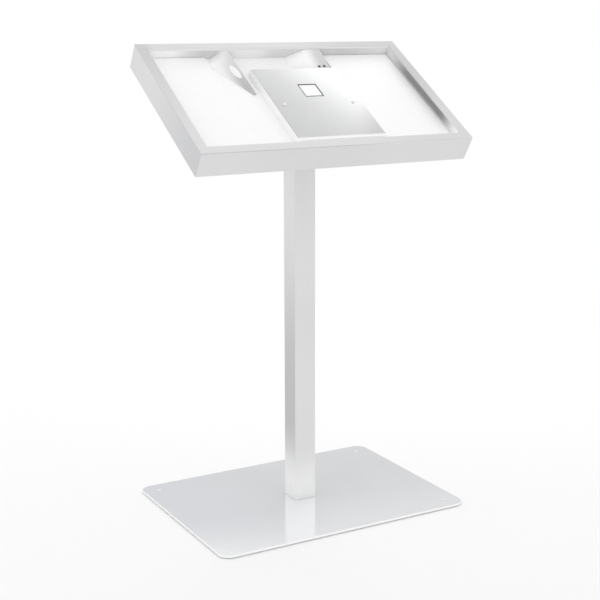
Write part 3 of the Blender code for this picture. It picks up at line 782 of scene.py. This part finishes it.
def rimPaintedLight():
    side, back, front = 0.5 * tray["width"] - tray["rim"], tray["rim"], tray["length"] - tray["rim"]
    rightWall = (side - 0.0015, side - 0.0005, side + 0.0012, side + 0.0042)
    belowFold = (0.0025, 0.0050)
    return (
        # rim: painted light at its left back and front, painted shade to the right but for the right strip's
        # near part, painted light in the front seam, and painted shade on the left strip towards the back
        {"x": (0.08, -0.05), "distance": (back - 0.002, back - 0.005), "tone": grey(0.70)},
        {"x": (0.05, 0.25), "distance": (0.40, 0.20), "tone": grey(0.575),
         "except": {"x": (side - 0.003, side + 0.004), "distance": (0.10, 0.40)}},
        {"distance": (0.20, 0.40), "share": 0.85, "tone": grey(0.725),
         "turning": ("x", 0.05, 0.25, grey(0.690))},
        {**frontSeamPaintedLight, "depth": (0.0009, 0.0012, 0.0021, 0.0024)},
        {"x": (0.022 - side, -0.008 - side), "distance": (0.26, 0.02), "tone": grey(0.60)},
        # painted highlight along the fold over the back wall
        {"x": (-side, 0.002 - side, side - 0.002, side), "depth": belowFold[::-1], "tone": grey(0.86),
         "distance": (back - 0.0028, back - 0.0012, back + 0.0005, back + 0.0015)},
        # back wall: painted light at its left and in the middle, with less of it beside the gussets
        {"distance": (back + 0.0015, back + 0.0005), "depth": belowFold, "tone": grey(1.0),
         "profile": (-0.36, 0.36, (
             (0.00, 1.0), (0.10, 1.0), (0.16, 0.40), (0.22, 0.04), (0.27, 0.10), (0.30, 0.9), (0.42, 1.0),
             (0.50, 0.45), (0.58, 0.30), (0.80, 0.20), (0.90, 0.42), (1.00, 0.60)))},
        # right wall: painted highlight at its pale ends, and a painted dark band of shade between them
        {"x": rightWall, "depth": (0.0002, 0.0040), "tone": grey(0.78),
         "turning": ("distance", 0.20, 0.40, grey(0.97))},
        {"x": rightWall, "distance": (0.030, 0.155, 0.322, 0.412), "depth": (0.0002, 0.0040, 0.016, 0.027),
         "tone": grey(0.25)},
        # front wall: painted highlight below its fold
        {"distance": (front - 0.0015, front - 0.0005, front, front + 0.003), "depth": belowFold,
         "tone": grey(0.95)},
    )


rimCoat = powderCoat("rimFrameCoat", (0.665, 0.667, 0.672), 0.32, 1.42, layered(rimPaintedLight()))


def rimSection():
    width, sheet, fold, steps = tray["rim"], tray["sheet"], rimSizes["fold"], rimSizes["steps"]
    ledgeTop = -(tray["floor"] + sheet + gap)
    section = [(inset, -drop) for inset, drop in rounding(rimSizes["topRound"], 3)]
    section += [(width - drop, -inset) for inset, drop in rounding(fold, steps)]
    section += [(width, ledgeTop), (width + rimSizes["ledge"], ledgeTop),
                (width + rimSizes["ledge"], ledgeTop - sheet), (width - sheet, ledgeTop - sheet)]
    section += [(width - sheet - drop, -sheet - inset) for inset, drop in rounding(fold - sheet, steps)[::-1]]
    return section + [(rimSizes["seam"], -sheet), (0.0, -sheet + rimSizes["seam"])]


dress(makePiece("rimFrame", mitred(rimSection(), tray["width"], tray["length"]), rimCoat),
      "light_grey_steel", "rim_frame", place=trayPlace)
print("rim frame done")


# Inlay boards

board = {"thickness": 0.005, "clearance": 0.001, "edge": 0.0007,
         "leftEnd": -0.196, "rightStart": 0.1495}


def makeBoards():
    half = 0.5 * (tray["width"] - 2.0 * tray["rim"]) - board["clearance"]
    length = tray["length"] - 2.0 * tray["rim"] - 2.0 * board["clearance"]
    low = -tray["floor"] + gap
    high = -tray["floor"] + board["thickness"]
    for name, node, start, end in (("leftBoard", "inlay_board_left", -half, board["leftEnd"]),
                                   ("rightBoard", "inlay_board_right", board["rightStart"], half)):
        bm = skin([roundedRing(end - start, length, board["clearance"], z, (0.5 * (start + end), 0.0), 5)
                   for z in (low, high)])
        dress(makePiece(name, bm, whiteSheet), "white_board", node, place=trayPlace, edge=board["edge"])


makeBoards()
print("boards done")


# Raised middle plate: a folded cover with the cable port and two screws

plate = {
    "centre": 0.022, "width": 0.253, "back": 0.108, "front": 0.404, "depth": 0.009, "sheet": 0.002,
    "fold": 0.003, "foldSteps": 8, "footGap": 0.00003,
    "paintedLight": {"sides": (0.0016, 0.0008), "right": (0.0040, 0.0020), "front": (0.0130, 0.0030)},
    "portCentre": 0.0245, "portSide": 0.051, "portDistance": 0.204, "portCorner": 0.001,
    "lap": 0.0005, "lip": 0.0004, "flange": 0.0005,
    "coverSide": 0.055, "coverCorner": 0.002, "coverSheet": 0.0015, "coverDrop": 0.0016, "coverTop": 0.0100,
    "coverHeel": 0.0006, "coverEdge": 0.0004,
    "screwSpacing": 0.198, "screwDistance": 0.260, "screwLift": 0.00005,
    "head": 0.010, "rim": 0.0004, "dome": 0.0036, "key": 0.002, "keyDepth": 0.0004, "shank": 0.005,
    "length": 0.012,
}
port = inTray(plate["portCentre"], plate["portDistance"], 0.0)


def plateWallLight(graph, place):
    # one on the plate's folded sides and front, painted white: painted light over the sides' shade and a
    # painted highlight along the front fold
    x, distance, depth = graph.trayPlaceOf(place)
    across, half, widths = x - plate["centre"], 0.5 * plate["width"], plate["paintedLight"]
    mask = graph.ramp(abs(across), *(half - width for width in widths["sides"]))
    for value, edge, key in ((across, half, "right"), (distance, plate["front"], "front")):
        mask = mask.apply("MAXIMUM", mask, graph.ramp(value, *(edge - width for width in widths[key])))
    return mask


plateSteel = brushedSteel("satinPlateSteel", (0.572, 0.574, 0.577), 0.20, (6.0, 900.0, 900.0), 0.000006,
                          whole["tilt"], plateWallLight)


def makePlate():
    half = 0.5 * plate["width"]
    outline = ((-half, plate["back"]), (-half, plate["front"]), (half, plate["front"]), (half, plate["back"]))
    bm = skin([[inTray(plate["centre"] + x, distance, depth) for x, distance in outline]
               for depth in (tray["floor"] - plate["footGap"], plate["depth"])])
    bmesh.ops.recalc_face_normals(bm, faces=bm.faces)
    unwanted = [face for face in bm.faces if face.normal.y > 0.5 or face.normal.z < -0.5]
    bmesh.ops.delete(bm, geom=unwanted, context="FACES")
    folds = [edge for edge in bm.edges if not edge.is_boundary]
    bmesh.ops.bevel(bm, geom=folds, offset=plate["fold"], offset_type="OFFSET", segments=plate["foldSteps"],
                    profile=0.5, affect="EDGES")
    piece = makePiece("middlePlate", bm, plateSteel)
    modify(piece, "sheet", "SOLIDIFY", thickness=plate["sheet"], offset=-1.0, use_even_offset=True)
    bake(piece)
    ends = (-plate["depth"] - plate["sheet"] - past, -plate["depth"] + past)
    opening = plate["portSide"]
    cutters = [shifted(skin([roundedRing(opening, opening, plate["portCorner"], z, steps=4)
                             for z in ends]), port)]
    places = [inTray(plate["centre"] + side * 0.5 * plate["screwSpacing"], plate["screwDistance"],
                     plate["depth"] - plate["screwLift"]) for side in (-1, 1)]
    hole = [(plate["shank"] + fit, z) for z in ends]
    cutters += [turned(hole, (place.x, place.y, 0.0)) for place in places]
    cutOut(piece, cutters)
    dress(piece, "satin_steel", "mounting_plate", place=trayPlace)

    sizes = [plate[key] for key in ("head", "head", "rim", "dome", "key", "keyDepth", "shank", "length")]
    screws = growOn("plateScrews", places, [(0.0, 0.0, 1.0)] * 2, screwTree, sizes, whiteLacquer)
    dress(screws, "zinc_screw", "plate_screw_left", "plate_screw_right", place=trayPlace)


def makeEdging():
    # clip-on edging: a channel whose outer flanges are rounded
    high = -plate["depth"] + gap
    low = -plate["depth"] - plate["sheet"] - gap
    lap, reach, flange = plate["lap"] + gap, plate["lap"] + plate["lip"], plate["flange"]
    section = [(0.0, high)] + [(inset, high + flange - drop) for inset, drop in rounding(0.5 * flange, 3)]
    section += [(reach - 0.4 * flange, high + flange), (reach, high + 0.6 * flange),
                (reach, low - 0.6 * flange), (reach - 0.4 * flange, low - flange),
                (0.0, low - flange), (0.0, low), (lap, low), (lap, high)]
    side = plate["portSide"] + 2.0 * plate["lap"]
    # its dark rubber stands partly for the port's cut edge and partly as a painted shadow along it
    dress(makePiece("portEdging", mitred(section, side, side, port), darkRubber),
          "dark_rubber", "port_edging", place=trayPlace)


def makePortCover():
    # white cover under the port, its middle pressed up into the opening
    seat = -(plate["depth"] + plate["sheet"] + plate["coverDrop"])
    wide, middle = plate["coverSide"], plate["portSide"] - 2.0 * plate["lip"] - fit
    heel, edge, top = plate["coverHeel"], plate["coverEdge"], -plate["coverTop"]
    bm = skin([roundedRing(side, side, plate["coverCorner"], z, steps=5) for side, z in (
        (wide, seat - plate["coverSheet"]), (wide, seat), (middle + heel, seat), (middle, seat + heel),
        (middle, top - edge), (middle - 2.0 * edge, top))])
    dress(makePiece("portCover", shifted(bm, port), whiteSheet), "white_board", "port_cover", place=trayPlace)


makePlate()
makeEdging()
makePortCover()
print("middle plate done")


# Bent sheet gussets

gusset = {
    "sheet": 0.0012, "shoulder": 0.057, "tip": 0.190, "bend": 0.22, "bendSteps": 14,
    "left": {
        "wall": ((-0.178, None), (-0.152, 0.0042), (-0.137, 0.0032), (-0.137, 0.0082)),
        "shoulder": ((-0.195, None), (-0.157, 0.0090), (-0.134, 0.0071), (-0.134, 0.0121)),
        "tip": ((-0.1270, None), (-0.1235, 0.0252), (-0.120, 0.0247), (-0.120, 0.0272)),
        "look": {"bend": (-0.95, 1.6), "drift": 17.0, "away": 0.027, "tip": 0.52},
    },
    "right": {
        "wall": ((0.038, None), (0.092, 0.0045), (0.134, 0.0032), (0.134, 0.0082)),
        "shoulder": ((0.030, None), (0.088, 0.0090), (0.134, 0.0071), (0.134, 0.0121)),
        "tip": ((0.1000, None), (0.1080, 0.0252), (0.134, 0.0247), (0.134, 0.0272)),
        "look": {"bend": (-0.1, 0.75), "drift": 4.0, "away": 0.045, "tip": 0.58},
    },
    "tipTone": (0.065, 0.165),
    "hole": 0.026, "holeStretch": (0.5, 1.6, 1.0), "holeDistance": 0.107,
    "capWidth": 0.0165, "capLength": 0.048, "capSteps": 64, "capClear": 0.0003,
    "capProfile": ((0.1, 0.0019), (0.35, 0.0018), (0.6, 0.00155), (0.8, 0.00125), (0.93, 0.0009),
                   (0.985, 0.000675), (1.0, 0.00036), (1.0, 0.0), (0.8, 0.0), (0.5, 0.0), (0.1, 0.0)),
    "rivet": {"head": 0.007, "rim": 0.000525, "dome": 0.000975, "key": 0.002, "shank": 0.004,
              "length": 0.004},
    "rivetsFromRidge": (0.029, 0.014), "rivetDistance": 0.0945,
}


def gussetPoints(sections, distance):
    # foot, crest, ridge and lip edge at a distance from the tray's back edge
    if distance <= gusset["shoulder"]:
        start, end, low, high = sections["wall"], sections["shoulder"], tray["rim"], gusset["shoulder"]
    else:
        start, end, low, high = sections["shoulder"], sections["tip"], gusset["shoulder"], gusset["tip"]
    share = (distance - low) / (high - low)
    points = []
    for (xStart, depthStart), (xEnd, depthEnd) in zip(start, end):
        depth = tray["floor"] - gap if depthStart is None else depthStart + share * (depthEnd - depthStart)
        points.append(Vector((xStart + share * (xEnd - xStart), depth)))
    return points


def bendLine(start, crest, end):
    # from start to end, bent round the crest
    reach = gusset["bend"] * (crest - start).length
    before = crest - reach * (crest - start).normalized()
    after = crest + reach * (end - crest).normalized()
    shares = [step / gusset["bendSteps"] for step in range(gusset["bendSteps"] + 1)]
    curve = [(1.0 - t) ** 2 * before + 2.0 * t * (1.0 - t) * crest + t ** 2 * after for t in shares]
    return [start, *curve, end]


def gussetPaintedLight(sections):
    # painted highlight white on the flank, grey over the bend, and painted shade towards the tip; the
    # boundary drifts across with the distance from the wall
    def tones(graph, place, tone):
        x, distance, depth = graph.trayPlaceOf(place)
        look = sections["look"]
        share = (distance - gusset["shoulder"]) / (gusset["tip"] - gusset["shoulder"])
        crest, ridge = [point[0] for point in sections["shoulder"][1:3]]
        crestTip, ridgeTip = [point[0] for point in sections["tip"][1:3]]
        width = ridge - crest + share * (ridgeTip - ridge - crestTip + crest)
        across = (x - crest - share * (crestTip - crest)) / width
        lower = graph.blend(graph.ramp(distance, *gusset["tipTone"]), tone, grey(look["tip"]))
        return graph.blend(graph.ramp(across + (distance - look["away"]) * look["drift"], *look["bend"]),
                           grey(1.0), lower)
    return tones


def atDepth(line, depth):
    start, along = line
    return start + (depth - start.y) / along.y * along


def insideLine(points, thickness):
    lines = []
    for start, end in zip(points, points[1:]):
        along = (end - start).normalized()
        lines.append((start + thickness * Vector((-along.y, along.x)), along))
    inner = [atDepth(lines[0], points[0].y)]
    for (start, along), (otherStart, otherAlong) in zip(lines, lines[1:]):
        turn = along.cross(otherAlong)
        if abs(turn) < 1e-6:
            inner.append(otherStart.copy())
        else:
            inner.append(start + (otherStart - start).cross(otherAlong) / turn * along)
    return inner + [atDepth(lines[-1], points[-1].y)]


def makeGusset(name, coatName, colour, sections, cutters):
    nearWall = tray["rim"] + gap
    rows = [nearWall + (gusset["shoulder"] - nearWall) * k / 4 for k in range(5)]
    rows += [gusset["shoulder"] + (gusset["tip"] - gusset["shoulder"]) * k / 12 for k in range(1, 13)]
    rings = []
    for distance in rows:
        base, crest, ridge, lip = gussetPoints(sections, distance)
        outer = [*bendLine(base, crest, ridge), lip]
        outline = outer + insideLine(outer, gusset["sheet"])[::-1]
        rings.append([inTray(point.x, distance, point.y) for point in outline])
    piece = makePiece(name, skin(rings), powderCoat(coatName, colour, 0.26, 1.5, gussetPaintedLight(sections)))
    cutOut(piece, cutters)
    return piece


def makeLeftGusset():
    base, crest, ridge, lip = gussetPoints(gusset["left"], gusset["holeDistance"])
    lean = 0.5 * (math.atan2(base.y - crest.y, crest.x - base.x)
                  + math.atan2(crest.y - ridge.y, ridge.x - crest.x))
    bm = turned([(gusset["hole"], side * 0.5 * gusset["hole"]) for side in (-1, 1)], steps=64)
    bmesh.ops.scale(bm, vec=gusset["holeStretch"], verts=bm.verts)
    bm.transform(Matrix.Translation(inTray(crest.x, gusset["holeDistance"], crest.y))
                 @ Matrix.Rotation(-lean, 4, "Y"))
    piece = makeGusset("leftGusset", "leftGussetCoat", (0.690, 0.692, 0.695), gusset["left"], [bm])
    dress(piece, "light_grey_steel", "gusset_left", place=trayPlace)


def rivetSeat(fromRidge):
    def onTop(distance, share):
        crest, ridge = gussetPoints(gusset["right"], distance)[1:3]
        point = crest.lerp(ridge, share)
        return inTray(point.x, distance, point.y)

    crest, ridge = gussetPoints(gusset["right"], gusset["rivetDistance"])[1:3]
    share = 1.0 - fromRidge / (ridge.x - crest.x)
    place = onTop(gusset["rivetDistance"], share)
    across = onTop(gusset["rivetDistance"], 1.0) - onTop(gusset["rivetDistance"], 0.0)
    along = onTop(gusset["tip"], share) - place
    return place, along.cross(across).normalized()


def makeRightGusset():
    rivet = gusset["rivet"]
    seats = [rivetSeat(fromRidge) for fromRidge in gusset["rivetsFromRidge"]]
    holes = []
    for place, normal in seats:
        bm = turned([(rivet["shank"] + fit, side * rivet["length"]) for side in (-1, 1)], steps=32)
        bm.transform(Matrix.Translation(place) @ normal.to_track_quat("Z", "Y").to_matrix().to_4x4())
        holes.append(bm)
    # its coat is the left gusset's grey painted darker, as painted shade
    piece = makeGusset("rightGusset", "rightGussetCoat", (0.640, 0.642, 0.645), gusset["right"], holes)
    dress(piece, "light_grey_steel", "gusset_right", place=trayPlace)

    places = [place + gap * normal for place, normal in seats]
    sizes = [rivet[key] for key in ("head", "head", "rim", "dome", "key", "dome", "shank", "length")]
    rivets = growOn("gussetRivets", places, [normal for place, normal in seats], screwTree, sizes, blackOxide)
    dress(rivets, "dark_screw", "gusset_screw_1", "gusset_screw_2", place=trayPlace)


def depthAt(x, distance):
    # the left gusset's outer face
    line = bendLine(*gussetPoints(gusset["left"], distance)[:3])
    for start, end in zip(line, line[1:]):
        if x <= end.x:
            return start.y + (x - start.x) / (end.x - start.x) * (end.y - start.y)
    return line[-1].y


def makeGussetCap():
    # oval white cap bent over the crest, closing the oval hole in the left gusset
    turn = 2.0 * math.pi / gusset["capSteps"]
    rings = []
    for reach, height in gusset["capProfile"]:
        ring = []
        for step in range(gusset["capSteps"]):
            distance = gusset["holeDistance"] + 0.5 * gusset["capLength"] * reach * math.sin(turn * step)
            crest = gussetPoints(gusset["left"], distance)[1]
            x = crest.x + 0.5 * gusset["capWidth"] * reach * math.cos(turn * step)
            ring.append(inTray(x, distance, depthAt(x, distance) - gusset["capClear"] - height))
        rings.append(ring)
    dress(makePiece("gussetCap", skin(rings), whiteLacquer), "white_board", place=trayPlace)


makeLeftGusset()
makeRightGusset()
makeGussetCap()
print("gussets done")


# CAD nodes that keep their shape

kept = {"post_spigot": greyCoat, "tray_floor": whiteSheet, "floor_grommet": darkRubber,
        "plate_standoff_left": zincPlate, "plate_standoff_right": zincPlate,
        **dict.fromkeys(numbered("head_nut", 4), zincPlate)}

for node, material in kept.items():
    for slot in cadNodes[node].material_slots:
        slot.material = material


# Stage, lamps and camera

studio = {
    "floorRadii": (30.0, 8.0, 3.0, 1.0, 0.05), "floorTone": 0.96, "fade": (1.2, 3.0), "ambient": 0.96,
    "softbox": {"place": (1.055, 1.417, 2.40), "aim": (1.055, 1.417, 0.0), "roll": 51.0, "size": (1.60, 1.30),
                "radiance": 1.2},
    "leftFill": {"place": (-1.75, 0.90, 2.20), "aim": (-0.10, 0.0, 1.10), "roll": 0.0, "size": (1.20, 1.20),
                 "radiance": 0.35},
    "darkCard": {"place": (2.95, 5.20, 1.48), "size": (7.0, 2.8), "tone": 0.08},
}


def seenRays(graph):
    # one where the camera, a mirror or a glass looks straight at the background
    rays = graph.add("ShaderNodeLightPath").socket.node.outputs
    seen, mirrored, through = (Wire(graph, rays[name]) for name in (
        "Is Camera Ray", "Is Glossy Ray", "Is Transmission Ray"))
    return seen + mirrored + through


def makeFloor():
    # paper that keeps the shadow near the stand and fades to plain white
    material, graph = newMaterial("studioFloorPaper")
    graph.tree.nodes.remove(graph.tree.nodes["Principled BSDF"])
    x, y, z = graph.split(graph.add("ShaderNodeTexCoord", output="Object"))
    squared = x * x + y * y
    fade = graph.ramp(squared.apply("SQRT", squared), *studio["fade"])
    paper = graph.add("ShaderNodeBsdfDiffuse", inputs={"Color": grey(studio["floorTone"])})
    glow = graph.add("ShaderNodeEmission", inputs={"Color": grey(1.0), "Strength": 1.0})
    mixed = graph.add("ShaderNodeMixShader", inputs={0: fade * seenRays(graph), 1: paper, 2: glow})
    graph.tree.links.new(mixed.socket, graph.tree.nodes["Material Output"].inputs["Surface"])
    bm = skin([circleRing(2.0 * radius, 0.0, 96) for radius in studio["floorRadii"]])
    widest = max(bm.faces, key=lambda face: face.calc_area())
    bmesh.ops.delete(bm, geom=[widest], context="FACES_ONLY")
    for face in bm.faces:
        if face.normal.z < 0.0:
            face.normal_flip()
    makePiece("studioFloor", bm, material)


def makeWorld():
    world = bpy.data.worlds.new("studioWorld")
    bpy.context.scene.world = world
    world.use_nodes = True
    graph = Graph(world.node_tree)
    sky = world.node_tree.nodes["Background"]
    sky.inputs["Color"].default_value = grey(1.0)
    strength = graph.add("ShaderNodeMapRange", inputs={0: seenRays(graph), 3: studio["ambient"]})
    graph.tree.links.new(strength.socket, sky.inputs["Strength"])


def makeSoftbox(name):
    sizes = studio[name]
    lamp = bpy.data.lights.new(name, "AREA")
    lamp.shape = "RECTANGLE"
    lamp.size, lamp.size_y = sizes["size"]
    lamp.energy = sizes["radiance"] * math.pi * sizes["size"][0] * sizes["size"][1]
    holder = newObject(name, lamp)
    holder.location = sizes["place"]
    aim = Vector(sizes["aim"]) - Vector(sizes["place"])
    turn = aim.to_track_quat("-Z", "Y") @ Euler((0.0, 0.0, math.radians(sizes["roll"]))).to_quaternion()
    holder.rotation_euler = turn.to_euler()


def makeDarkCard():
    # a grey flag behind the stand, so that the foot plate mirrors the post brighter than the room
    card = studio["darkCard"]
    centre = Vector(card["place"])
    toStand = -Vector((centre.x, centre.y, 0.0)).normalized()
    across = Vector((-toStand.y, toStand.x, 0.0)) * (0.5 * card["size"][0])
    up = Vector((0.0, 0.0, 0.5 * card["size"][1]))
    mesh = bpy.data.meshes.new("studioCard")
    ends = [centre - across - up, centre + across - up, centre + across + up, centre - across + up]
    mesh.from_pydata([tuple(end) for end in ends], [], [(0, 1, 2, 3)])
    material, graph = newMaterial("studioCardCloth")
    graph.tree.nodes["Principled BSDF"].inputs["Base Color"].default_value = grey(card["tone"])
    mesh.materials.append(material)
    flag = newObject("studioCard", mesh)
    flag.visible_camera = False
    flag.visible_diffuse = False
    flag.visible_shadow = False


def makeCamera():
    # solved from the edges of the tray, the post and the foot plate
    view = {"place": (-1.5666, -2.7789, 1.2691), "yaw": 0.5136098, "pitch": 0.2215478, "roll": -0.0020824,
            "focal": 1246.74, "frame": 600.0, "sensor": 36.0}
    yaw, pitch, turn = view["yaw"], view["pitch"], view["roll"]
    forward = Vector((math.sin(yaw) * math.cos(pitch), math.cos(yaw) * math.cos(pitch), -math.sin(pitch)))
    right = Vector((math.cos(yaw), -math.sin(yaw), 0.0))
    up = right.cross(forward)
    right, up = (math.cos(turn) * right + math.sin(turn) * up, math.cos(turn) * up - math.sin(turn) * right)
    lens = bpy.data.cameras.new("studioCamera")
    lens.sensor_fit = "HORIZONTAL"
    lens.sensor_width = view["sensor"]
    lens.lens = view["focal"] / view["frame"] * view["sensor"]
    camera = newObject("studioCamera", lens)
    facing = Matrix((right, up, -forward)).transposed().to_4x4()
    camera.matrix_world = Matrix.Translation(view["place"]) @ facing
    bpy.context.scene.camera = camera


makeFloor()
makeWorld()
makeSoftbox("softbox")
makeSoftbox("leftFill")
makeDarkCard()
makeCamera()
bpy.context.scene.view_settings.view_transform = "Standard"
print("stage ready")
